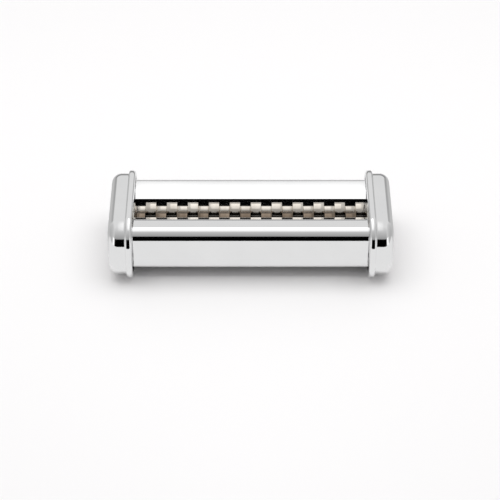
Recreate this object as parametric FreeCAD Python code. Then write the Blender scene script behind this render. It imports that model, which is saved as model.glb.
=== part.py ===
import FreeCAD, Part
import math
import os

from FreeCAD import Vector

os.makedirs("parts", exist_ok=True)

# Sizes are millimetres and degrees: X runs along the rollers, -Y is the front, Z is up from the table.

# Cutting rollers: lands of one roller turn in the grooves of the other
cut_width = 143.0
strip_count = 22
side_clearance = 0.1
roller_spacing = 10.7
roller_height = 26.2
land_radius = 5.6
dough_gap = 1.6
collar_radius = 5.0
collar_length = 0.4
journal_radius = 3.5
end_play = 0.1

# Fits
running_clearance = 0.03
seat_clearance = 0.02

# Side plates and bushes
plate_thickness = 1.6
bush_flange_thickness = 0.75
bush_flange_radius = 5.1
bush_radius = 4.7
bush_stand = 0.4

# End caps, pressed from sheet and hemmed round the side plates
rim_half_width = 37.8
rim_height = 41.5
rim_width = 4.2
rim_top_radius = 14.0
rim_bottom_radius = 13.2
rim_inner_radius = 1.9
rim_outer_radius = 0.5
cap_inset = 2.05
cap_depth = 12.65
cap_edge_radius = 6.3
cap_root_radius = 0.5
cap_sheet = 0.8
hem_sheet = 0.8
hem_wall = 1.3
hem_lip_width = 3.2
hem_clearance = 0.1
socket_hole_radius = 7.5

# Front and rear covers, bent from one sheet each
cover_sheet = 0.9
lip_reach = 11.35
lip_rise = 3.87
hopper_slope = 29.3
cover_reach = 30.66
crest_radius = 7.26
face_lean = 5.0
cover_bottom = 6.8
bottom_bend_radius = 2.7
return_reach = 23.4
face_tab_height = 17.0
hopper_tab_reach = 16.0
tab_width = 6.0
tab_proud = 0.5
tab_clearance = 0.05

# Gears on the left journals and the clips that hold them
tooth_count = 11
pressure_angle = 20.0
addendum = 0.85
dedendum = 1.15
backlash = 0.2
gear_width = 7.0
gear_gap = 0.5
gear_seat_radius = 3.0
gear_flat_depth = 0.6
clip_thickness = 0.8
clip_groove_depth = 0.8
clip_wall = 1.6
clip_relief_radius = 0.8
clip_play = 0.1
shaft_tail = 0.8

# Crank socket pinned on the right front journal
socket_radius = 6.5
socket_gap = 0.3
socket_grip = 4.0
crank_bore_radius = 4.05
crank_bore_length = 5.5
crank_slot_width = 2.6
crank_slot_depth = 4.0
pin_radius = 1.25

# Tie rods, their nuts and washers
rod_reach = 16.0
rod_height = 14.0
rod_radius = 2.5
thread_radius = 2.0
thread_tail = 0.6
hole_clearance = 0.1
washer_radius = 4.0
washer_thickness = 0.8
nut_flats = 7.0
nut_height = 3.2

# Stripping combs rolled round the tie rods
comb_sheet = 1.2
comb_clearance = 0.25
comb_land_clearance = 0.5
comb_side_clearance = 0.3
comb_end_clearance = 0.3
comb_overrun = 1.0
comb_roll_gap = 0.6

# Places worked out from the sizes
pitch_radius = roller_spacing / 2
groove_radius = roller_spacing - land_radius - dough_gap
strip_width = cut_width / strip_count
cut_half = cut_width / 2
collar_end = cut_half + collar_length
plate_inner = collar_end + end_play + bush_flange_thickness
plate_outer = plate_inner + plate_thickness
bush_end = plate_outer + bush_stand
gear_start = bush_end + gear_gap
gear_end = gear_start + gear_width
rear_clip_start = bush_end + gear_gap
rear_journal_end = rear_clip_start + clip_thickness + clip_play + shaft_tail
socket_start = rear_journal_end + socket_gap
drive_journal_end = socket_start + socket_grip
socket_end = drive_journal_end + crank_bore_length
thread_end = plate_outer + washer_thickness + nut_height + thread_tail
lip_height = roller_height + lip_rise
X_AXIS = Vector(1, 0, 0)
Y_AXIS = Vector(0, 1, 0)
FRONT = -1
REAR = 1
nodes = {}


def polar(centre, radius, degrees):
    """Point (y, z) at a radius and angle from a centre."""
    turn = math.radians(degrees)
    return (centre[0] + radius * math.cos(turn), centre[1] + radius * math.sin(turn))


def section(start, moves):
    """Closed face across X; a move holds the end of a straight run, or the middle and end of an arc."""
    edges = []
    here = start
    for move in moves:
        stops = [Vector(0, *stop) for stop in (here, *move)]
        curve = Part.LineSegment(*stops) if len(stops) == 2 else Part.Arc(*stops)
        edges.append(curve.toShape())
        here = move[-1]
    return Part.Face(Part.Wire(edges))


def slab(face, x_from, x_to):
    """Solid of a section carried along X."""
    placed = face.copy()
    placed.translate(X_AXIS * x_from)
    return placed.extrude(X_AXIS * (x_to - x_from))


def bar(x_from, x_to, radius, y, z):
    """Round bar along X."""
    return Part.makeCylinder(radius, x_to - x_from, Vector(x_from, y, z), X_AXIS)


def block(x_range, y_range, z_range):
    """Box between two limits on each axis."""
    low, high = (Vector(*corner) for corner in zip(x_range, y_range, z_range))
    return Part.makeBox(high.x - low.x, high.y - low.y, high.z - low.z, low)


def turned(steps, y, z):
    """Shaft turned about X from steps of (start, end, radius) that follow on from each other."""
    points = [Vector(steps[0][0], 0, 0)]
    for x_from, x_to, radius in steps:
        points += [Vector(x_from, 0, radius), Vector(x_to, 0, radius)]
    points += [Vector(steps[-1][1], 0, 0), points[0]]
    shaft = Part.Face(Part.makePolygon(points)).revolve(Vector(0, 0, 0), X_AXIS, 360)
    shaft.translate(Vector(0, y, z))
    return shaft


def mirrored(shape, normal):
    """Copy on the other side of the middle plane across a direction."""
    return shape.mirror(Vector(0, 0, 0), normal)


def rounded(solid, x, radius):
    """Solid with every edge that lies in one plane across X rounded."""
    flat = [edge for edge in solid.Edges if all(abs(v.X - x) < 1e-6 for v in edge.Vertexes)]
    return solid.makeFillet(radius, flat)


# End outline: upright sides, a flat top and foot, and four round corners, all set in by one amount
def end_outline(inset):
    side = rim_half_width - inset
    foot = inset
    top = rim_height - inset
    high = rim_top_radius - inset
    low = rim_bottom_radius - inset
    high_y, high_z = side - high, top - high
    low_y, low_z = side - low, foot + low
    return section((-low_y, foot), [
        ((low_y, foot),),
        (polar((low_y, low_z), low, -45), (side, low_z)),
        ((side, high_z),),
        (polar((high_y, high_z), high, 45), (high_y, top)),
        ((-high_y, top),),
        (polar((-high_y, high_z), high, 135), (-side, high_z)),
        ((-side, low_z),),
        (polar((-low_y, low_z), low, 225), (-low_y, foot)),
    ])


def where_cup_meets_rim(cap, x):
    """Edges in the plane of the rim's outer face that run along the foot of the cup's wall."""
    wall = end_outline(cap_inset).OuterWire
    wall.translate(X_AXIS * x)
    edges = []
    for edge in cap.Edges:
        middle = edge.valueAt((edge.FirstParameter + edge.LastParameter) / 2)
        if Part.Vertex(middle).distToShape(wall)[0] < 1e-3:
            edges.append(edge)
    return edges


# Pressed cap on the right: a domed cup whose rim is hemmed round the edge of the side plate
def end_cap():
    lip_face = plate_inner - hem_sheet
    rim_face = lip_face + rim_width
    cap_face = plate_outer + cap_depth
    rim = slab(end_outline(0), lip_face, rim_face)
    rim = rounded(rounded(rim, rim_face, rim_outer_radius), lip_face, rim_inner_radius)
    cup = rounded(slab(end_outline(cap_inset), plate_outer, cap_face), cap_face, cap_edge_radius)
    cap = rim.fuse(cup).removeSplitter()
    cap = cap.makeFillet(cap_root_radius, where_cup_meets_rim(cap, rim_face))
    hollow = slab(end_outline(cap_inset + cap_sheet), plate_inner, cap_face - cap_sheet)
    hollow = rounded(hollow, cap_face - cap_sheet, cap_edge_radius - cap_sheet)
    seat = slab(end_outline(hem_wall), plate_inner, plate_outer)
    mouth = slab(end_outline(hem_lip_width), lip_face, plate_inner)
    return cap.cut([hollow, seat, mouth])


right_cap = end_cap()
socket_hole = bar(plate_outer, plate_outer + 2 * cap_depth, socket_hole_radius, -pitch_radius, roller_height)
nodes["left_end_cap"] = mirrored(right_cap, X_AXIS)
nodes["right_end_cap"] = right_cap.cut(socket_hole)


# Cover: hopper slope, round crest, leaning face, bottom bend and a short return under the machine
def cover_section(grow):
    outer = grow
    inner = cover_sheet + grow
    centre_y = cover_reach - crest_radius
    slope = math.radians(hopper_slope)
    lean = math.radians(face_lean)
    drop = (centre_y - lip_reach) * math.sin(slope) - crest_radius
    crest = (centre_y, lip_height + drop / math.cos(slope))
    face_top = polar(crest, crest_radius, -face_lean)
    bend_z = cover_bottom + bottom_bend_radius
    bend_face_z = bend_z - bottom_bend_radius * math.sin(lean)
    bend_face_y = face_top[0] - (face_top[1] - bend_face_z) * math.tan(lean)
    bend = (bend_face_y - bottom_bend_radius * math.cos(lean), bend_z)
    crest_middle = (90 + hopper_slope - face_lean) / 2
    bend_middle = -(90 + face_lean) / 2
    lip = (lip_reach - grow * math.cos(slope), lip_height - grow * math.sin(slope))

    def side(offset):
        big = crest_radius - offset
        small = bottom_bend_radius - offset
        return {
            "lip": (lip[0] + offset * math.sin(slope), lip[1] - offset * math.cos(slope)),
            "crest_start": polar(crest, big, 90 + hopper_slope),
            "crest_middle": polar(crest, big, crest_middle),
            "crest_end": polar(crest, big, -face_lean),
            "bend_start": polar(bend, small, -face_lean),
            "bend_middle": polar(bend, small, bend_middle),
            "bend_end": polar(bend, small, -90),
            "return": (return_reach - grow, bend_z - small),
        }

    out = side(-outer)
    back = side(inner)
    return section(out["lip"], [
        (out["crest_start"],),
        (out["crest_middle"], out["crest_end"]),
        (out["bend_start"],),
        (out["bend_middle"], out["bend_end"]),
        (out["return"],),
        (back["return"],),
        (back["bend_end"],),
        (back["bend_middle"], back["bend_start"]),
        (back["crest_end"],),
        (back["crest_middle"], back["crest_start"]),
        (back["lip"],),
        (out["lip"],),
    ])


# Tabs on each end of a cover go through slots in the side plates
def cover_tabs(grow, x_to):
    half = tab_width / 2 + grow
    strip = slab(cover_section(grow), -x_to, x_to)
    reach = cover_reach + rim_half_width
    face_zone = block((-x_to, x_to), (lip_reach, reach), (face_tab_height - half, face_tab_height + half))
    slope_zone = block((-x_to, x_to), (hopper_tab_reach - half, hopper_tab_reach + half),
                       (roller_height, rim_height))
    return [strip.common(face_zone), strip.common(slope_zone)]


rear_cover = slab(cover_section(0), -plate_inner, plate_inner)
rear_cover = rear_cover.fuse(cover_tabs(0, plate_outer + tab_proud)).removeSplitter()
nodes["rear_cover"] = rear_cover
nodes["front_cover"] = mirrored(rear_cover, Y_AXIS)


# Side plate: it carries the bushes, the tie rods and the tabs of the covers
def side_plate():
    plate = slab(end_outline(hem_wall + hem_clearance), plate_inner, plate_outer)
    slots = cover_tabs(tab_clearance, 2 * plate_outer)
    holes = slots + [mirrored(slot, Y_AXIS) for slot in slots]
    for y in (-1, 1):
        holes.append(bar(0, 2 * plate_outer, bush_radius + seat_clearance, y * pitch_radius, roller_height))
        holes.append(bar(0, 2 * plate_outer, thread_radius + hole_clearance, y * rod_reach, rod_height))
    return plate.cut(holes)


right_plate = side_plate()
nodes["right_side_plate"] = right_plate
nodes["left_side_plate"] = mirrored(right_plate, X_AXIS)


# Flanged bushes pressed into the side plates
def bush(y):
    steps = [(plate_inner - bush_flange_thickness, plate_inner, bush_flange_radius),
             (plate_inner, bush_end, bush_radius)]
    bore = bar(0, 2 * plate_outer, journal_radius + running_clearance, y, roller_height)
    return turned(steps, y, roller_height).cut(bore)


for place, side in (("front", FRONT), ("rear", REAR)):
    right_bush = bush(side * pitch_radius)
    nodes["right_" + place + "_bush"] = right_bush
    nodes["left_" + place + "_bush"] = mirrored(right_bush, X_AXIS)


def strips(land_parity):
    """Steps of the cut part of a roller: lands on the columns of one parity, grooves between."""
    steps = []
    for column in range(strip_count):
        is_land = column % 2 == land_parity
        shrink = side_clearance / 2 if is_land else -side_clearance / 2
        x_from = -cut_half + column * strip_width + shrink
        x_to = -cut_half + (column + 1) * strip_width - shrink
        steps.append((x_from, x_to, land_radius if is_land else groove_radius))
    return steps


# Roller: journals, collars and strips turned from one bar, with a flat for its gear at the left
def roller(side, land_parity, right_end):
    clip_from = gear_end + clip_play
    clip_to = clip_from + clip_thickness
    cut = strips(land_parity)
    left = [
        (-clip_to - clip_play - shaft_tail, -clip_to - clip_play, gear_seat_radius),
        (-clip_to - clip_play, -gear_end, gear_seat_radius - clip_groove_depth),
        (-gear_end, -gear_start, gear_seat_radius),
        (-gear_start, -collar_end, journal_radius),
        (-collar_end, cut[0][0], collar_radius),
    ]
    right = [(cut[-1][1], collar_end, collar_radius)] + right_end
    shaft = turned(left + cut + right, side * pitch_radius, roller_height)
    flat_z = roller_height + gear_seat_radius - gear_flat_depth
    flat = block((-2 * gear_end, -gear_start), (-rim_half_width, rim_half_width), (flat_z, rim_height))
    return shaft.cut(flat)


drive_end = [(collar_end, drive_journal_end, journal_radius)]
groove_from = rear_clip_start - clip_play
groove_to = rear_clip_start + clip_thickness + clip_play
idle_end = [
    (collar_end, groove_from, journal_radius),
    (groove_from, groove_to, journal_radius - clip_groove_depth),
    (groove_to, rear_journal_end, journal_radius),
]
pin_x = socket_start + socket_grip / 2
pin_hole = Part.makeCylinder(pin_radius + seat_clearance, rim_height, Vector(pin_x, -pitch_radius, 0))
nodes["front_cutter_roller"] = roller(FRONT, 0, drive_end).cut(pin_hole)
nodes["rear_cutter_roller"] = roller(REAR, 1, idle_end)


# Spur gear: involute flanks drawn as arcs, one tooth pointing to +Y, and a D-shaped bore
def gear(side):
    base = pitch_radius * math.cos(math.radians(pressure_angle))
    tip = pitch_radius + addendum
    root = pitch_radius - dedendum
    step = 360 / tooth_count

    def spread(radius):
        roll = math.sqrt(max((radius / base) ** 2 - 1, 0))
        return math.degrees(roll - math.atan(roll))

    pitch_half = step / 4 - math.degrees(backlash / 4 / pitch_radius)

    def flank(radius, tooth, hand):
        lean = pitch_half + spread(pitch_radius) - spread(radius)
        return polar((0, 0), radius, tooth * step + hand * lean)

    def foot(tooth, hand):
        return polar((0, 0), root, tooth * step + hand * (pitch_half + spread(pitch_radius)))

    moves = []
    for tooth in range(tooth_count):
        middle = (base + tip) / 2
        moves += [
            (flank(base, tooth, -1),),
            (flank(middle, tooth, -1), flank(tip, tooth, -1)),
            (polar((0, 0), tip, tooth * step), flank(tip, tooth, 1)),
            (flank(middle, tooth, 1), flank(base, tooth, 1)),
            (foot(tooth, 1),),
            (polar((0, 0), root, (tooth + 0.5) * step), foot(tooth + 1, -1)),
        ]
    wheel = slab(section(foot(0, -1), moves), -gear_end, -gear_start)
    bore = bar(-2 * gear_end, 0, gear_seat_radius + seat_clearance, 0, 0)
    flat_z = gear_seat_radius - gear_flat_depth + seat_clearance
    flat = block((-2 * gear_end, 0), (-pitch_radius, pitch_radius), (flat_z, rim_height))
    wheel = wheel.cut(bore.cut(flat))
    wheel.translate(Vector(0, side * pitch_radius, roller_height))
    return wheel


nodes["front_gear"] = gear(FRONT)
nodes["rear_gear"] = gear(REAR)


# Sprung clip: an open ring with three fingers that snaps into a groove of the shaft
def clip(x_from, shaft_radius, side):
    seat = shaft_radius - clip_groove_depth + seat_clearance
    y = side * pitch_radius
    ring = bar(x_from, x_from + clip_thickness, shaft_radius + clip_wall, y, roller_height)
    grip = bar(x_from, x_from + clip_thickness, seat, y, roller_height)
    mouth = block((x_from, x_from + clip_thickness), (y - seat, y + seat), (0, roller_height))
    cuts = [grip, mouth]
    for angle in (30, 150):
        spot = polar((y, roller_height), seat, angle)
        cuts.append(bar(x_from, x_from + clip_thickness, clip_relief_radius, *spot))
    return ring.cut(cuts)


gear_clip_from = -gear_end - clip_play - clip_thickness
nodes["front_gear_clip"] = clip(gear_clip_from, gear_seat_radius, FRONT)
nodes["rear_gear_clip"] = clip(gear_clip_from, gear_seat_radius, REAR)
nodes["rear_journal_clip"] = clip(rear_clip_start, journal_radius, REAR)


# Crank socket: a sleeve on the drive journal with an open bore and a cross slot for the crank
def crank_socket():
    y = -pitch_radius
    sleeve = bar(socket_start, socket_end, socket_radius, y, roller_height)
    grip = bar(socket_start, drive_journal_end, journal_radius + seat_clearance, y, roller_height)
    bore = bar(drive_journal_end, socket_end, crank_bore_radius, y, roller_height)
    half = crank_slot_width / 2
    slot_x = (socket_end - crank_slot_depth, socket_end)
    upright = block(slot_x, (y - half, y + half), (0, rim_height))
    return sleeve.cut([grip, bore, upright, pin_hole])


nodes["crank_socket"] = crank_socket()
pin_half = socket_radius * math.cos(math.asin(pin_radius / socket_radius))
pin_foot = Vector(pin_x, -pitch_radius, roller_height - pin_half)
nodes["crank_socket_pin"] = Part.makeCylinder(pin_radius, 2 * pin_half, pin_foot)


# Tie rods with shoulders on the side plates, and their washers and nuts inside the caps
def tie_rod(side):
    steps = [
        (-thread_end, -plate_inner, thread_radius),
        (-plate_inner, plate_inner, rod_radius),
        (plate_inner, thread_end, thread_radius),
    ]
    return turned(steps, side * rod_reach, rod_height)


def washer(side):
    ring = bar(plate_outer, plate_outer + washer_thickness, washer_radius, side * rod_reach, rod_height)
    hole = bar(plate_outer, thread_end, thread_radius + hole_clearance, side * rod_reach, rod_height)
    return ring.cut(hole)


def nut(side):
    x_from = plate_outer + washer_thickness
    corner = nut_flats / 2 / math.cos(math.radians(30))
    corners = [(polar((0, 0), corner, 60 * turn),) for turn in range(1, 7)]
    hexagon = slab(section(polar((0, 0), corner, 0), corners), x_from, x_from + nut_height)
    hexagon = hexagon.cut(bar(x_from, thread_end, thread_radius + seat_clearance, 0, 0))
    hexagon.translate(Vector(0, side * rod_reach, rod_height))
    return hexagon


nodes["front_tie_rod"] = tie_rod(FRONT)
nodes["rear_tie_rod"] = tie_rod(REAR)
for name, piece in (("rod_washers", washer), ("rod_nuts", nut)):
    pair = Part.makeCompound([piece(FRONT), piece(REAR)])
    nodes["right_" + name] = pair
    nodes["left_" + name] = mirrored(pair, X_AXIS)


# Comb: an eye rolled round the tie rod and a flat blade, slotted so that its tines lie in the grooves
def comb(side, land_parity):
    eye_inner = rod_radius + hole_clearance / 2
    eye_outer = eye_inner + comb_sheet
    tine_radius = groove_radius + comb_clearance
    run = pitch_radius - rod_reach
    rise = roller_height - rod_height
    apart = math.hypot(run, rise)
    facing = math.degrees(math.atan2(rise, run))
    climb = facing + math.degrees(math.asin((eye_outer + tine_radius) / apart))
    along = polar((0, 0), 1, climb)
    rod = (rod_reach, rod_height)
    start = polar(rod, eye_outer, climb - 90)
    touch = polar((pitch_radius, roller_height), tine_radius, climb + 90)

    def on_blade(origin, distance, depth):
        down = polar((0, 0), 1, climb + 90)
        return tuple(origin[i] + along[i] * distance + down[i] * depth for i in (0, 1))

    blade_half = cut_half - comb_end_clearance
    tip = on_blade(touch, comb_overrun, 0)
    tip_under = on_blade(touch, comb_overrun - comb_sheet, comb_sheet)
    blade = section(start, [(tip,), (tip_under,), (on_blade(start, 0, comb_sheet),), (start,)])
    eye = slab(blade, -blade_half, blade_half)
    eye = eye.fuse(bar(-blade_half, blade_half, eye_outer, *rod))
    eye = eye.cut(bar(-blade_half, blade_half, eye_inner, *rod)).removeSplitter()
    gap_spot = polar(rod, eye_inner, climb)
    gap = section(on_blade(gap_spot, -eye_inner, -comb_roll_gap / 2), [
        (on_blade(gap_spot, comb_sheet * 2, -comb_roll_gap / 2),),
        (on_blade(gap_spot, comb_sheet * 2, comb_roll_gap / 2),),
        (on_blade(gap_spot, -eye_inner, comb_roll_gap / 2),),
        (on_blade(gap_spot, -eye_inner, -comb_roll_gap / 2),),
    ])
    cuts = [slab(gap, -blade_half, blade_half)]
    slot_back = math.sqrt((land_radius + comb_land_clearance) ** 2 - tine_radius ** 2)
    far = slot_back + comb_overrun + comb_sheet
    root = on_blade(touch, -slot_back, -comb_sheet)
    slot = section(root, [
        (on_blade(root, far, 0),),
        (on_blade(root, far, comb_sheet * 3),),
        (on_blade(root, 0, comb_sheet * 3),),
        (root,),
    ])
    for column in range(land_parity, strip_count, 2):
        middle = -cut_half + (column + 0.5) * strip_width
        half = (strip_width - side_clearance) / 2 + comb_side_clearance
        cuts.append(slab(slot, middle - half, middle + half))
    blade = eye.cut(cuts)
    return blade if side == REAR else mirrored(blade, Y_AXIS)


nodes["front_comb"] = comb(FRONT, 0)
nodes["rear_comb"] = comb(REAR, 1)

for name, shape in nodes.items():
    shape.exportStep("parts/" + name + ".step")
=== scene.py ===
import math

import bpy
import numpy as np
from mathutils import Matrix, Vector


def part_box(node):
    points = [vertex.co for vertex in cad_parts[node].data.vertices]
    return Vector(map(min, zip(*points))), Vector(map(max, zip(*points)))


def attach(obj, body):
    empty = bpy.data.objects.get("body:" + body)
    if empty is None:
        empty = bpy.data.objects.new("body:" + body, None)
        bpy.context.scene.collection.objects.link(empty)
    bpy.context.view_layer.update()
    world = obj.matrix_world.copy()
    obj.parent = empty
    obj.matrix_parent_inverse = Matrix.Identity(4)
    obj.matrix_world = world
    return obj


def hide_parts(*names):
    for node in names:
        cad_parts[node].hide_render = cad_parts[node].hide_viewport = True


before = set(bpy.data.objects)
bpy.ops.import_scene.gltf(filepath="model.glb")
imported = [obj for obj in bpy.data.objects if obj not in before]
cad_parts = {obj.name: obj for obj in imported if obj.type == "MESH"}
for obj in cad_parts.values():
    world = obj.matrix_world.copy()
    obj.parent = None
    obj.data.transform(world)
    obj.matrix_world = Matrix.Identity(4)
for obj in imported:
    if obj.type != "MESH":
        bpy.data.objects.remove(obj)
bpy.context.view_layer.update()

# End caps. Each is one pressing of thin steel sheet, polished and chromed: a shallow cup with a raised
# rim that is hemmed round the edge of a side plate. The right one has a round hole for the crank.
mm = 0.001
cap_low, cap_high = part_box("right_end_cap")
plate_low, plate_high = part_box("right_side_plate")
socket_low, socket_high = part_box("crank_socket")
rim_half_width = cap_high.y
rim_height = cap_high.z
rim_width = 4.2 * mm
rim_top_radius = 14.0 * mm
rim_bottom_radius = 13.2 * mm
rim_inner_radius = 1.9 * mm
rim_outer_radius = 1.2 * mm
cap_inset = 2.05 * mm
cap_edge_radius = 6.3 * mm
cap_root_radius = 0.5 * mm
cap_sheet = 0.8 * mm
hem_wall = 1.3 * mm
hem_lip_width = 3.2 * mm
hem_break = 0.2 * mm
flat_margin = 0.5 * mm
long_run = 2.0 * mm
socket_centre = ((socket_low.y + socket_high.y) / 2, (socket_low.z + socket_high.z) / 2)
socket_hole_radius = 7.5 * mm
blank_eye_radius = 4.0 * mm
eye_step = 0.04 * mm
pushed_rows = 4
corner_steps = 28
flat_steps = 36
edge_steps = 14
hem_steps = 4
face_rings = 10
sharp_angle = 38


def arc(centre, radius, first, last, steps):
    """Arc of a circle in a profile plane between two angles in degrees: rows of two coordinates."""
    turn = np.radians(np.linspace(first, last, steps))
    return np.stack([centre[0] + radius * np.cos(turn), centre[1] + radius * np.sin(turn)], axis=1)


def end_outline(inset):
    """Points (y, z) round the end at an inset: four corner arcs about fixed centres, each of its radius
    less the inset, with a point a margin along the flat at both ends of every arc so that flats stay
    flat, and even steps between these."""
    low_y, low_z = rim_half_width - rim_bottom_radius, rim_bottom_radius
    high_y, high_z = rim_half_width - rim_top_radius, rim_height - rim_top_radius
    corners = []
    for start, y, z, radius in ((-90, low_y, low_z, rim_bottom_radius),
                                (0, high_y, high_z, rim_top_radius),
                                (90, -high_y, high_z, rim_top_radius),
                                (180, -low_y, low_z, rim_bottom_radius)):
        bend = arc((y, z), radius - inset, start, start + 90, corner_steps)
        lead = np.array([-math.sin(math.radians(start)), math.cos(math.radians(start))])
        trail = np.array([-lead[1], lead[0]])
        before, after = bend[:1] - lead * flat_margin, bend[-1:] + trail * flat_margin
        corners.append(np.concatenate([before, bend, after]))
    rows = []
    for corner, following in zip(corners, corners[1:] + corners[:1]):
        rows += [corner, np.linspace(corner[-1], following[0], flat_steps)[1:-1]]
    return np.concatenate(rows)


def with_margins(profile):
    """A profile whose long straight runs get a point a margin in from each end, which keeps them flat."""
    rows = [profile[:1]]
    for start, end in zip(profile[:-1], profile[1:]):
        length = np.linalg.norm(end - start)
        if length > long_run:
            step = (end - start) / length * flat_margin
            rows.append(np.stack([start + step, end - step]))
        rows.append(end[None])
    return np.concatenate(rows)


def skin(name, rings, closed=False, poles=False, strip_ends=False):
    """Mesh over rings of points: quads join each ring to the next. The rings may close on themselves, end
    in poles at their middles, or, for the section of a sheet, end in quads between its two sides. The
    faces turn outwards: where the volume of all the fans comes out negative, they are turned round."""
    count, around = rings.shape[:2]
    points = rings.reshape(-1, 3)
    ring = np.arange(count if closed else count - 1)[:, None]
    place = np.arange(around)[None, :]
    here, there = ring * around, (ring + 1) % count * around
    ahead = (place + 1) % around
    faces = np.stack([here + place, here + ahead, there + ahead, there + place], axis=-1).reshape(-1, 4)
    faces = [tuple(face) for face in faces.tolist()]
    last = (count - 1) * around
    if poles:
        points = np.concatenate([points, [rings[0].mean(axis=0), rings[-1].mean(axis=0)]])
        first_pole, last_pole = count * around, count * around + 1
        faces += [(first_pole, (j + 1) % around, j) for j in range(around)]
        faces += [(last_pole, last + j, last + (j + 1) % around) for j in range(around)]
    if strip_ends:
        half = around // 2
        for base, order in ((0, 1), (last, -1)):
            faces += [(base + j, base + around - 1 - j, base + around - 2 - j, base + j + 1)[::order]
                      for j in range(half - 1)]
    corners = points[[face[:3] for face in faces]]
    extra = [face for face in faces if len(face) == 4]
    fans = np.concatenate([corners, points[[(face[0], face[2], face[3]) for face in extra]]])
    volume = np.einsum("ij,ij->", fans[:, 0], np.cross(fans[:, 1], fans[:, 2]))
    if volume < 0:
        faces = [face[::-1] for face in faces]
    mesh = bpy.data.meshes.new(name)
    mesh.from_pydata(points.tolist(), [], faces)
    mesh.shade_smooth()
    mesh.set_sharp_from_angle(angle=math.radians(sharp_angle))
    piece = bpy.data.objects.new(name, mesh)
    bpy.context.scene.collection.objects.link(piece)
    return piece


class Flow:
    """A socket of a node tree. Arithmetic on it adds Math nodes, and node() adds any other node."""

    def __init__(self, tree, socket=None):
        self.tree = tree
        self.socket = socket

    def node(self, kind, settings=(), inputs=(), out=0):
        """Adds a node, makes its settings and ramp stops, then fills its sockets with values or links."""
        made = self.tree.nodes.new(kind)
        for key, value in dict(settings).items():
            if key == "stops":
                ramp = made.color_ramp.elements
                for place, _ in value[1:-1]:
                    ramp.new(place)
                for element, (place, shade) in zip(ramp, value):
                    element.position = place
                    element.color = (*shade, 1) if isinstance(shade, tuple) else (shade, shade, shade, 1)
            else:
                setattr(made, key, value)
        for key, value in dict(inputs).items():
            if isinstance(value, Flow):
                self.tree.links.new(value.socket, made.inputs[key])
            else:
                made.inputs[key].default_value = value
        return Flow(self.tree, made.outputs[out])

    def math(self, operation, first, second=0.0):
        return self.node("ShaderNodeMath", {"operation": operation}, {0: first, 1: second})

    def __add__(self, other):
        return self.math("ADD", self, other)

    def __radd__(self, other):
        return self.math("ADD", other, self)

    def __sub__(self, other):
        return self.math("SUBTRACT", self, other)

    def __rsub__(self, other):
        return self.math("SUBTRACT", other, self)

    def __mul__(self, other):
        return self.math("MULTIPLY", self, other)

    def __rmul__(self, other):
        return self.math("MULTIPLY", other, self)

    def blend(self, low, high):
        """Colour between two colours by this factor."""
        return self.node("ShaderNodeMix", {"data_type": "RGBA"}, {0: self, 6: low, 7: high}, out=2)

    def ramp(self, *stops):
        return self.node("ShaderNodeValToRGB", {"stops": stops}, {0: self})

    def place(self):
        """Object coordinates."""
        return self.node("ShaderNodeTexCoord", out="Object")

    def axis(self, letter):
        """One coordinate of this vector."""
        return self.node("ShaderNodeSeparateXYZ", {}, {0: self}, out=letter)

    def fade(self, low, high, first=0.0):
        """Smooth step from a first value to 1 as this goes from low to high."""
        return self.node("ShaderNodeMapRange", {"interpolation_type": "SMOOTHSTEP"},
                         {"Value": self, "From Min": low, "From Max": high, "To Min": first})

    def noise(self, scale, detail):
        """Noise on Object coordinates: scale is cells to the metre along each axis."""
        placed = self.node("ShaderNodeMapping", {"vector_type": "POINT"},
                           {"Vector": self.place(), "Scale": scale})
        return self.node("ShaderNodeTexNoise", {}, {"Vector": placed, "Scale": 1.0, "Detail": detail})

    def bump(self, strength, distance):
        """Normal for this height."""
        return self.node("ShaderNodeBump", {}, {"Strength": strength, "Distance": distance, "Height": self})


def finish(name, **constants):
    """New material with one Principled shader: returns it, its flow, and a call that links its sockets."""
    material = bpy.data.materials.new(name)
    material.use_nodes = True
    tree = material.node_tree
    shader = tree.nodes["Principled BSDF"]
    for key, value in constants.items():
        shader.inputs[key.replace("_", " ")].default_value = value

    def feed(**flows):
        for key, flow in flows.items():
            tree.links.new(flow.socket, shader.inputs[key.replace("_", " ")])

    return material, Flow(tree), feed


def chrome_plate():
    """Bright chrome on polished sheet: faint cloudy haze, a few fine wipe marks and slow waviness."""
    material, flow, feed = finish("chrome_plate", Metallic=1.0)
    haze = flow.noise((60, 60, 60), 3)
    wipes = flow.noise((40, 900, 900), 4)
    waviness = flow.noise((18, 30, 30), 1)
    feed(Base_Color=haze.blend((0.86, 0.86, 0.865, 1), (0.92, 0.92, 0.92, 1)),
         Roughness=0.035 + haze * 0.03 + wipes * 0.02,
         Normal=waviness.bump(0.05, 0.4 * mm))
    return material


def dress(piece, material, body, slot, *nodes):
    """Gives a new piece its material and body, and hides the CAD nodes that it stands for. The slot is not
    used.
    """
    piece.data.materials.append(material)
    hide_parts(*nodes)
    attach(piece, body)


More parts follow.
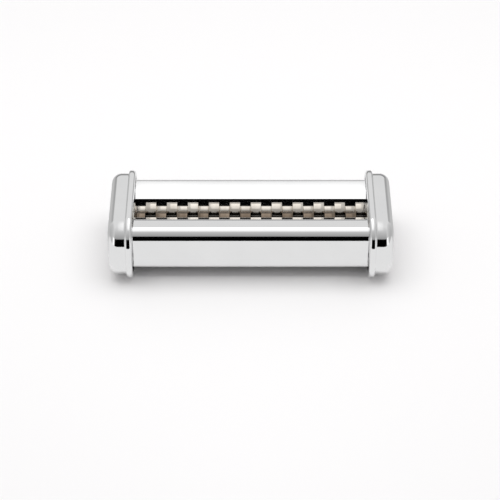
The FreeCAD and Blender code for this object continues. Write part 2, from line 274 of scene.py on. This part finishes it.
def cap_profile():
    """Stations (x, inset) of the pressing's two skins: up the inside of the cup, round the hem and lip,
    over the rim's edge, up the wall and round to the face."""
    face = cap_high.x
    lip_face, plate_inner, plate_outer = cap_low.x, plate_low.x, plate_high.x
    rim_face = lip_face + rim_width
    inner_radius = cap_edge_radius - cap_sheet
    bend = (face - cap_edge_radius, cap_inset + cap_edge_radius)
    root = (rim_face + cap_root_radius, cap_inset - cap_root_radius)
    rows = [
        arc(bend, inner_radius, 0, -90, edge_steps),
        [(plate_outer, cap_inset + cap_sheet), (plate_outer, hem_wall), (plate_inner, hem_wall)],
        arc((plate_inner - hem_break, hem_lip_width - hem_break), hem_break, 0, 90, hem_steps),
        arc((lip_face + hem_break, hem_lip_width - hem_break), hem_break, 90, 180, hem_steps),
        arc((lip_face + rim_inner_radius, rim_inner_radius), rim_inner_radius, 180, 270, edge_steps),
        arc((rim_face - rim_outer_radius, rim_outer_radius), rim_outer_radius, 270, 360, edge_steps),
        arc(root, cap_root_radius, 180, 90, edge_steps),
        arc(bend, cap_edge_radius, -90, 0, edge_steps * 2),
    ]
    return with_margins(np.concatenate([np.asarray(row) for row in rows]))


def end_cap(name, side, eye_centre, eye_radius, is_open):
    """Cap: the profile carried round the end outline, and flat faces of rings that pass from the outline
    to an eye, which is a real hole or is closed at its middle. Where the eye cuts into the rounded edge,
    that edge's rows are pushed out past the eye, each a small step more than the one before."""
    profile = cap_profile()
    centre = np.array(eye_centre)
    reach = np.stack([end_outline(inset) for inset in profile[:, 1]]) - centre
    distance = np.linalg.norm(reach, axis=2, keepdims=True)
    row = np.arange(len(profile))
    room = eye_radius + eye_step * (1 + np.minimum(row, row[::-1]).clip(max=pushed_rows))
    outlines = centre + reach * np.maximum(1, room[:, None, None] / distance)
    stations = np.broadcast_to(profile[:, :1, None], distance.shape)
    wall = np.concatenate([stations, outlines], axis=2)
    edge = outlines[-1]
    bearing = np.arctan2(edge[:, 1] - centre[1], edge[:, 0] - centre[0])
    eye = centre + eye_radius * np.stack([np.cos(bearing), np.sin(bearing)], axis=1)

    def face(x):
        share = np.linspace(0, 1, face_rings)[1:, None, None]
        flat = edge * (1 - share) + eye * share
        depth = np.full(flat.shape[:2] + (1,), x)
        return np.concatenate([depth, flat], axis=2)

    outer = face(cap_high.x)
    inner = face(cap_high.x - cap_sheet)[::-1]
    rings = np.concatenate([inner, wall, outer])
    rings[..., 0] *= side
    return skin(name, rings, closed=is_open, poles=not is_open)


chrome = chrome_plate()
right_cap = end_cap("right_cap_pressing", 1, socket_centre, socket_hole_radius, True)
left_cap = end_cap("left_cap_pressing", -1, (0, rim_height / 2), blank_eye_radius, False)
dress(right_cap, chrome, "frame", "chrome", "right_end_cap")
dress(left_cap, chrome, "frame", "chrome", "left_end_cap")

# Front and rear covers. Each is bent from one chromed sheet: the slope of the feed slot, a flatter top, a
# round crest, the outer face that leans in a little, a bottom bend and a short return. The inner side is
# unpolished and painted near black as shade, and the ends meet the side plates.
cover_low, cover_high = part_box("rear_cover")
cover_sheet = 0.9 * mm
hopper_slope = 21.6
slope_bend_radius = 9 * mm
top_slope = 6.0
ridge_radius = 4.0 * mm
ridge_turn = 60
crest_radius = 7.26 * mm
crest_height = 28.51 * mm
face_lean = 5.0
bottom_bend_radius = 2.7 * mm
return_reach = 23.4 * mm
lip_reach = 9.8 * mm
lip_height = 32.0 * mm
sheet_break = 0.2 * mm
crest_steps = 90
bend_steps = 36
cover_stations = 60


def cover_section():
    """Rows (y, z) of the sheet's outer and inner sides, from lip to return. Both are the slope, a bend to
    the flatter top, the ridge, the crest arc, the leaning face, the lower bend and the return, one
    sheet's thickness apart. Each arc is tangent to what comes before and after it."""
    slope, top, lean = math.radians(hopper_slope), math.radians(top_slope), math.radians(face_lean)
    crest = np.array([cover_high.y - crest_radius, crest_height])
    bend_z = cover_low.z + bottom_bend_radius
    face_fall = crest[1] - bend_z + (bottom_bend_radius - crest_radius) * math.sin(lean)
    face_y = crest[0] + crest_radius * math.cos(lean) - face_fall * math.tan(lean)
    bend = np.array([face_y - bottom_bend_radius * math.cos(lean), bend_z])
    normal = np.array([-math.sin(slope), math.cos(slope)])
    lip = np.array([lip_reach, lip_height])
    inward = np.array([math.cos(slope), math.sin(slope)])
    ridge = arc(crest, crest_radius - ridge_radius, ridge_turn, ridge_turn, 1)[0]
    top_normal = np.array([-math.sin(top), math.cos(top)])
    below_slope = normal @ lip - slope_bend_radius
    below_top = top_normal @ ridge + ridge_radius - slope_bend_radius
    slope_bend = np.linalg.solve([normal, top_normal], [below_slope, below_top])

    def side(depth, trim):
        start = lip - normal * depth + inward * trim
        end = np.array([return_reach + trim, bend_z - bottom_bend_radius + depth])
        path = np.concatenate([
            start[None],
            arc(slope_bend, slope_bend_radius - depth, 90 + hopper_slope, 90 + top_slope, bend_steps),
            arc(ridge, ridge_radius - depth, 90 + top_slope, ridge_turn, bend_steps),
            arc(crest, crest_radius - depth, ridge_turn, -face_lean, crest_steps)[1:],
            arc(bend, bottom_bend_radius - depth, -face_lean, -90, bend_steps),
            end[None],
        ])
        return with_margins(path)

    def broken(depth, edge_depth):
        edge = side(edge_depth, 0)
        return np.concatenate([edge[:1], side(depth, sheet_break), edge[-1:]])

    return broken(0, sheet_break), broken(cover_sheet, cover_sheet - sheet_break)


def cover(name, side):
    """Cover: the sheet's section carried along X between the side plates. The faces of its inner side
    take the second material."""
    outer, inner = cover_section()
    section = np.concatenate([outer, inner[::-1]])
    stations = np.linspace(-plate_low.x, plate_low.x, cover_stations)
    rings = np.empty((len(stations), len(section), 3))
    rings[..., 0] = stations[:, None]
    rings[..., 1:] = section
    rings[..., 1] *= side
    piece = skin(name, rings, strip_ends=True)
    is_inner = (np.arange(len(section)) >= len(outer)).astype(int)
    inside = np.zeros(len(piece.data.polygons), dtype=int)
    inside[:(cover_stations - 1) * len(section)] = np.tile(is_inner, cover_stations - 1)
    piece.data.polygons.foreach_set("material_index", inside)
    return piece


def painted_shade_inside():
    """Unpolished inner side of the plated sheet, with the long grain of rolled steel, painted near black:
    painted shade inside the covers.
    """
    material, flow, feed = finish("painted_shade_inside", Metallic=1.0)
    grain = flow.noise((30, 700, 700), 3)
    feed(Base_Color=grain.blend((0.05, 0.05, 0.052, 1), (0.10, 0.10, 0.104, 1)),
         Roughness=0.45 + grain * 0.2)
    return material


# Inner sides of the covers: near black, painted shade.
inner_shaded_steel = painted_shade_inside()
for name, side in (("front", -1), ("rear", 1)):
    piece = cover(name + "_cover_sheet", side)
    dress(piece, chrome, "frame", "chrome", name + "_cover")
    piece.data.materials.append(inner_shaded_steel)

# Cutter rollers. Each is turned from one steel bar: lands and grooves that mesh with the other roller's,
# a collar and a journal at both ends, and a flat for its gear. The tool leaves fine rings. The front
# roller's steel is painted much darker than the rear one's, with its grooves painted near black: painted
# shade.
strip_count = 22
cut_half = 71.5 * mm
side_clearance = 0.1 * mm
groove_radius = 3.5 * mm
collar_radius = 5.0 * mm
collar_length = 0.4 * mm
journal_radius = 3.5 * mm
gear_seat_radius = 3.0 * mm
gear_flat_depth = 0.6 * mm
clip_groove_depth = 0.8 * mm
land_break = 0.1 * mm
break_share = 0.3
roller_sides = 144


def turned_steel(name, node, dark, light, groove_shade_level):
    """Turned steel with a warm tint: rings of the tool run round the axis, so the pattern changes fast
    along X. Down in the grooves the tone is darkened to a share of itself: painted shade in the recesses."""
    material, flow, feed = finish(name, Metallic=1.0)
    low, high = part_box(node)
    coords = flow.place()
    across = coords.axis("Y") - (low.y + high.y) / 2
    upward = coords.axis("Z") - (low.z + high.z) / 2
    radius = flow.math("SQRT", across * across + upward * upward)
    # Painted shade: from the land's radius down to the groove's, the tone falls to a share of itself.
    painted_groove_shade = radius.fade(groove_radius, (high.z - low.z) / 2, groove_shade_level)
    rings = flow.noise((2600, 14, 14), 3)
    bands = flow.noise((260, 10, 10), 2)
    cloud = flow.noise((90, 90, 90), 3)
    tone = bands * 0.6 + cloud * 0.4
    feed(Base_Color=painted_groove_shade.blend((0, 0, 0, 1), tone.ramp((0.3, dark), (0.7, light))),
         Roughness=0.05 + rings * 0.09 + cloud * 0.04,
         Normal=rings.bump(0.35, 0.05 * mm))
    return material


def roller_steps(node, parity):
    """Steps (start, end, radius) of a roller along X, from gear seat over lands and grooves to its end."""
    low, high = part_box(node)
    gear_low, gear_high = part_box("front_gear")
    clip_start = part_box("front_gear_clip")[0].x
    land_radius = (high.z - low.z) / 2
    collar_end = cut_half + collar_length
    width = 2 * cut_half / strip_count
    steps = [
        (low.x, clip_start, gear_seat_radius),
        (clip_start, gear_low.x, gear_seat_radius - clip_groove_depth),
        (gear_low.x, gear_high.x, gear_seat_radius),
        (gear_high.x, -collar_end, journal_radius),
    ]
    for column in range(strip_count):
        is_land = column % 2 == parity
        trim = side_clearance / 2 if is_land else -side_clearance / 2
        first, last = -cut_half + column * width + trim, -cut_half + (column + 1) * width - trim
        if column == 0:
            steps.append((-collar_end, first, collar_radius))
        steps.append((first, last, land_radius if is_land else groove_radius))
    steps += [(last, collar_end, collar_radius), (collar_end, high.x, journal_radius)]
    return steps


def roller(name, node, parity):
    """Roller: circles about its axis at each step's ends, with broken corners and the gear's flat."""
    low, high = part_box(node)
    axis_y, axis_z = (low.y + high.y) / 2, (low.z + high.z) / 2
    rows = []
    part_break = land_break * break_share
    for first, last, radius in roller_steps(node, parity):
        rows += [(first, radius - land_break), (first + part_break, radius - part_break),
                 (first + land_break, radius), (last - land_break, radius),
                 (last - part_break, radius - part_break), (last, radius - land_break)]
    profile = np.array(rows)
    turn = np.linspace(0, 2 * math.pi, roller_sides, endpoint=False)
    rings = np.empty((len(profile), roller_sides, 3))
    rings[..., 0] = profile[:, :1]
    rings[..., 1] = axis_y + profile[:, 1:] * np.cos(turn)
    rings[..., 2] = axis_z + profile[:, 1:] * np.sin(turn)
    gear_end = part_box("front_gear")[1].x
    flat_z = axis_z + gear_seat_radius - gear_flat_depth
    on_seat = rings[..., 0] <= gear_end
    rings[..., 2] = np.where(on_seat, np.minimum(rings[..., 2], flat_z), rings[..., 2])
    return skin(name, rings, poles=True)


# The front roller's steel is the rear one's painted much darker, with near-black grooves: painted shade.
front_shaded_steel = turned_steel("painted_shade_roller_steel", "front_cutter_roller",
                           (0.12, 0.09, 0.065), (0.25, 0.20, 0.155), 0.05)
rear_steel = turned_steel("turned_steel", "rear_cutter_roller",
                          (0.58, 0.53, 0.47), (0.74, 0.70, 0.64), 1.0)
for name, parity, steel in (("front", 0, front_shaded_steel), ("rear", 1, rear_steel)):
    piece = roller(name + "_roller_turned", name + "_cutter_roller", parity)
    dress(piece, steel, name + "_roller", "cutter_steel", name + "_cutter_roller")


# Side plates. Blanked from cold rolled sheet, they carry the bushes, rods and cover tabs. Each shows only
# as a narrow band between the covers and the cap's lip.
def coat(material, *names):
    """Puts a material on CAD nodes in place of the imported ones."""
    for name in names:
        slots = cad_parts[name].data.materials
        slots.clear()
        slots.append(material)


def plain_steel(name, dark, light, roughness, grain):
    """Bare or plated steel: two tones on a soft cloud, with fine grain in the roughness and the bump."""
    material, flow, feed = finish(name, Metallic=1.0)
    cloud = flow.noise((150, 150, 150), 4)
    lines = flow.noise(grain, 3)
    feed(Base_Color=cloud.blend((*dark, 1), (*light, 1)),
         Roughness=roughness + lines * 0.18,
         Normal=lines.bump(0.2, 0.05 * mm))
    return material


coat(plain_steel("rolled_plate", (0.40, 0.40, 0.41), (0.56, 0.56, 0.57), 0.28, (400, 60, 2200)),
     "left_side_plate", "right_side_plate")

# Bushes. Moulded in natural acetal with a flange, pressed into the plates from inside. The rollers'
# journals turn in them.
acetal, acetal_flow, acetal_feed = finish("acetal", Specular_IOR_Level=0.4)
speckle = acetal_flow.noise((900, 900, 900), 3)
acetal_feed(Base_Color=speckle.blend((0.78, 0.76, 0.70, 1), (0.88, 0.865, 0.81, 1)),
            Roughness=0.38 + speckle * 0.15)
coat(acetal, "left_front_bush", "left_rear_bush", "right_front_bush", "right_rear_bush")

# Gears and crank socket. Machined steel with a film of grease; the gears sit on the left journals' flats
# and the socket is pinned on the right end of the front roller.
coat(plain_steel("gear_steel", (0.36, 0.36, 0.37), (0.52, 0.52, 0.53), 0.22, (120, 1500, 1500)),
     "front_gear", "rear_gear", "crank_socket")

# Clips. Stamped from blackened spring steel and snapped onto the shafts: one beside each gear, and one on
# the rear roller's right journal.
coat(plain_steel("spring_steel", (0.10, 0.095, 0.09), (0.19, 0.18, 0.17), 0.32, (800, 800, 800)),
     "front_gear_clip", "rear_gear_clip", "rear_journal_clip")

# Combs. Stamped stainless sheet with an eye rolled round the tie rod; the tines lie in the rollers'
# grooves and strip the ribbons off.
coat(plain_steel("comb_steel", (0.52, 0.52, 0.53), (0.66, 0.66, 0.665), 0.2, (30, 1600, 1600)),
     "front_comb", "rear_comb")

# Tie rods, nuts, washers and the socket's cross pin. Steel with bright zinc plate; the rods run from one
# side plate to the other, with a washer and a nut at each end.
coat(plain_steel("zinc_plate", (0.58, 0.59, 0.61), (0.72, 0.73, 0.75), 0.18, (300, 900, 900)),
     "front_tie_rod", "rear_tie_rod", "left_rod_nuts", "right_rod_nuts",
     "left_rod_washers", "right_rod_washers", "crank_socket_pin")

# Floor. Pale and satin, in two pieces: reflections show the one under and behind the object, and not the
# one in front, where they show the world's dark front instead.
floor_half = 6.0
floor_drop = 0.3 * mm
floor_split = -86 * mm
footprint_x = 95 * mm
footprint_y = 33 * mm
footprint_fade = 10 * mm
beside_from = 80 * mm
beside_to = 110 * mm
around_tone = (0.83, 0.83, 0.83, 1)
behind_ends_tone = (0.54, 0.54, 0.54, 1)


def pale_floor():
    """Pale satin floor. Reflections show an even level around the object, darker behind its ends, and the
    real shade under it."""
    material, flow, _ = finish("pale_floor", Base_Color=(0.9, 0.89, 0.885, 1), Roughness=0.45,
                               Specular_IOR_Level=0.3)
    tree = flow.tree
    coords = flow.place()
    across = flow.math("ABSOLUTE", coords.axis("X"))
    along = coords.axis("Y")
    beyond = flow.math("MAXIMUM", across - footprint_x, flow.math("ABSOLUTE", along) - footprint_y)
    clear = beyond.fade(0.0, footprint_fade)
    glossy = flow.node("ShaderNodeLightPath", out="Is Glossy Ray")
    beside = across.fade(beside_from, beside_to)
    behind = along.fade(-footprint_y, footprint_y)
    tone = (beside * behind).blend(around_tone, behind_ends_tone)
    even = flow.node("ShaderNodeEmission", {}, {"Color": tone, "Strength": 1.0})
    shader = Flow(tree, tree.nodes["Principled BSDF"].outputs[0])
    shown = flow.node("ShaderNodeMixShader", {}, {0: glossy * clear, 1: shader, 2: even})
    tree.links.new(shown.socket, tree.nodes["Material Output"].inputs["Surface"])
    return material


def stage_sheet(name, material, half_width, y_from, y_to, height):
    """Level rectangle of the stage, between two places along Y."""
    mesh = bpy.data.meshes.new(name)
    corners = ((-half_width, y_from), (half_width, y_from), (half_width, y_to), (-half_width, y_to))
    mesh.from_pydata([(x, y, height) for x, y in corners], [], [(0, 1, 2, 3)])
    mesh.materials.append(material)
    piece = bpy.data.objects.new(name, mesh)
    bpy.context.scene.collection.objects.link(piece)
    return piece


floor_finish = pale_floor()
stage_sheet("studio_floor", floor_finish, floor_half, floor_split, floor_half, -floor_drop)
front_floor = stage_sheet("front_floor", floor_finish, floor_half, -floor_half, floor_split, -floor_drop)
front_floor.visible_glossy = False

# White card. A sheet that hangs over the object and is seen only in reflections, where it whitens what
# faces up. It lights nothing else and casts no shadow.
card_height = 300 * mm
card_half_width = 94 * mm
card_front = -135 * mm
card_back = 275 * mm
card_side_blur = 8 * mm
card_front_blur = 55 * mm
card_back_blur = 10 * mm
card_edge = 2 * card_back
card_level = 1.05
card_gain = 0.45


def white_card():
    """White glow that grows towards the back and fades out to clear past the card's edges."""
    material, flow, _ = finish("white_card")
    tree = flow.tree
    coords = flow.place()
    across = flow.math("ABSOLUTE", coords.axis("X"))
    along = coords.axis("Y")
    mask = (across.fade(card_half_width + card_side_blur, card_half_width - card_side_blur)
            * along.fade(card_front - card_front_blur, card_front + card_front_blur)
            * along.fade(card_back + card_back_blur, card_back - card_back_blur))
    level = card_level + card_gain * along.fade(card_front, card_back)
    glow = flow.node("ShaderNodeEmission", {}, {"Color": level, "Strength": 1.0})
    clear = flow.node("ShaderNodeBsdfTransparent")
    shown = flow.node("ShaderNodeMixShader", {}, {0: mask, 1: clear, 2: glow})
    tree.links.new(shown.socket, tree.nodes["Material Output"].inputs["Surface"])
    return material


overhead_card = stage_sheet("white_card", white_card(), card_edge, -card_edge, card_edge, card_height)
overhead_card.visible_camera = False
overhead_card.visible_diffuse = False
overhead_card.visible_shadow = False

# World. A plain soft level lights the scene. Reflections show a studio instead: levels by degrees from the
# front horizon, which is black, over the top to the back, and grey sides with a bright strip low in
# front. The sides' places are shares of the direction's length.
sweep_levels = ((0, 0.0), (17, 0.0), (20, 0.30), (39, 0.39), (75, 0.56), (95, 0.66),
                (158, 0.66), (165, 0.25), (179, 0.20))
side_levels = ((0.0, 0.62), (0.5, 0.60), (0.8, 0.48), (1.0, 0.40))
side_fade = (0.48, 0.66)
strip_top_fade = (0.42, 0.28)
strip_outer_fade = (0.92, 0.75)
strip_front_fade = (-0.1, -0.2)
metal_level = 1.15
soft_level = (0.62, 0.62, 0.63, 1)
backdrop = (0.95, 0.945, 0.94, 1)
world = bpy.data.worlds.new("soft_studio")
bpy.context.scene.world = world
world.use_nodes = True
sky = Flow(world.node_tree)
direction = sky.node("ShaderNodeTexCoord", out="Generated")
aside = sky.math("ABSOLUTE", direction.axis("X"))
ahead = direction.axis("Y")
above = direction.axis("Z")
sweep = sky.math("ARCTAN2", above, ahead * -1.0) * (1 / math.pi)
middle = sweep.ramp(*[(degrees / 180, level) for degrees, level in sweep_levels])
sides = aside.ramp(*side_levels)
to_side = aside.fade(*side_fade)
strip_front = sky.node("ShaderNodeMapRange", {}, {"Value": ahead, "From Min": strip_front_fade[0],
                                                  "From Max": strip_front_fade[1]})
strip = to_side * above.fade(*strip_top_fade) * aside.fade(*strip_outer_fade) * strip_front
around = to_side.blend(middle, sides)
side_strips = strip.blend((0, 0, 0, 1), (1, 1, 1, 1))
lit = sky.node("ShaderNodeMix", {"data_type": "RGBA", "blend_type": "LIGHTEN"},
               {0: 1.0, 6: around, 7: side_strips}, out=2)
seen_in_metal = sky.node("ShaderNodeVectorMath", {"operation": "SCALE"}, {0: lit, "Scale": metal_level})
glossy_ray = sky.node("ShaderNodeLightPath", out="Is Glossy Ray")
camera_ray = sky.node("ShaderNodeLightPath", out="Is Camera Ray")
plain_level = camera_ray.blend(soft_level, backdrop)
shown = glossy_ray.blend(plain_level, seen_in_metal)
background = world.node_tree.nodes["Background"]
world.node_tree.links.new(shown.socket, background.inputs["Color"])

# Softbox. One wide lamp that hangs overhead, a little behind the object, and gives the soft shade under
# it. Reflections don't show it.
softbox_data = bpy.data.lights.new("overhead_softbox", "AREA")
softbox_data.shape = "RECTANGLE"
softbox_data.size = 1.6
softbox_data.size_y = 0.9
softbox_data.energy = 9.0
softbox = bpy.data.objects.new("overhead_softbox", softbox_data)
softbox.location = (0, 0.12, 1.1)
softbox.visible_glossy = False
bpy.context.scene.collection.objects.link(softbox)

# Camera. It looks down at the middle of the base from the front, with the rise, distance and focal length
# that were fitted to the photograph.
camera_rise = math.radians(36)
camera_distance = 1.32
camera_left = 0.4 * mm
focal_pixels = 2104
picture_pixels = 500
camera_data = bpy.data.cameras.new("camera")
camera_data.sensor_width = 36
camera_data.lens = focal_pixels / picture_pixels * camera_data.sensor_width
camera = bpy.data.objects.new("camera", camera_data)
camera.location = camera_distance * Vector((0, -math.cos(camera_rise), math.sin(camera_rise)))
camera.location.x -= camera_left
camera.rotation_euler = (math.radians(90) - camera_rise, 0, 0)
bpy.context.scene.collection.objects.link(camera)
bpy.context.scene.camera = camera
bpy.context.scene.view_settings.view_transform = "Standard"
